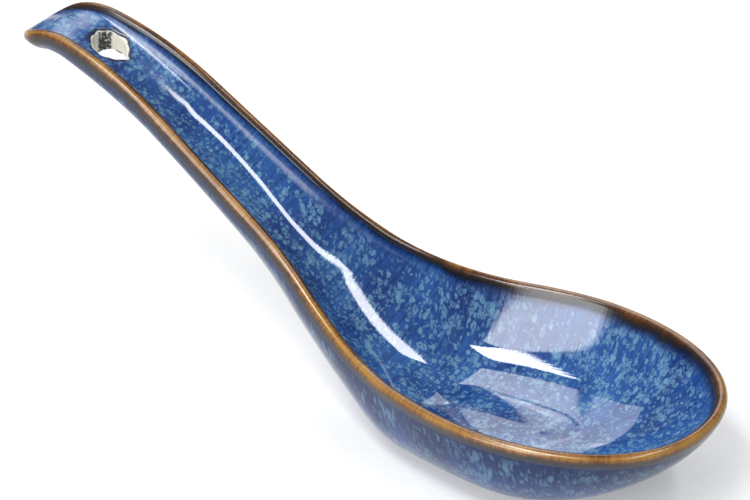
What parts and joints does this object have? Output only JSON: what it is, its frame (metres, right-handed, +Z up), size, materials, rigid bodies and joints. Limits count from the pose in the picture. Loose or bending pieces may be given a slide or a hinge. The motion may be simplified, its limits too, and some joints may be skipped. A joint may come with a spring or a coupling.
{
  "type": "porcelain soup spoon",
  "caption": "Deep oval soup spoon with a flat foot and a rising channelled handle that ends in a curled tip with a hanging hole.",
  "frame": {"origin": "on the table, in the bare flat foot, under the widest section of the bowl and in the spoon's middle plane", "axes": "+X along the spoon to the nose of the bowl, the handle rises towards -X, +Z up out of the bowl, +Y to the left side seen from the handle"},
  "size_m": [0.1372, 0.0474, 0.0543],
  "materials": {
    "porcelain": "bare fired, matt",
    "blue_glaze": "high gloss, speckled",
    "brown_glaze": "high gloss"
  },
  "bodies": {
    "root": {"porcelain_body": "porcelain", "inner_glaze": "blue_glaze", "outer_glaze": "blue_glaze", "rim_glaze": "brown_glaze"}
  },
  "joints": []
}
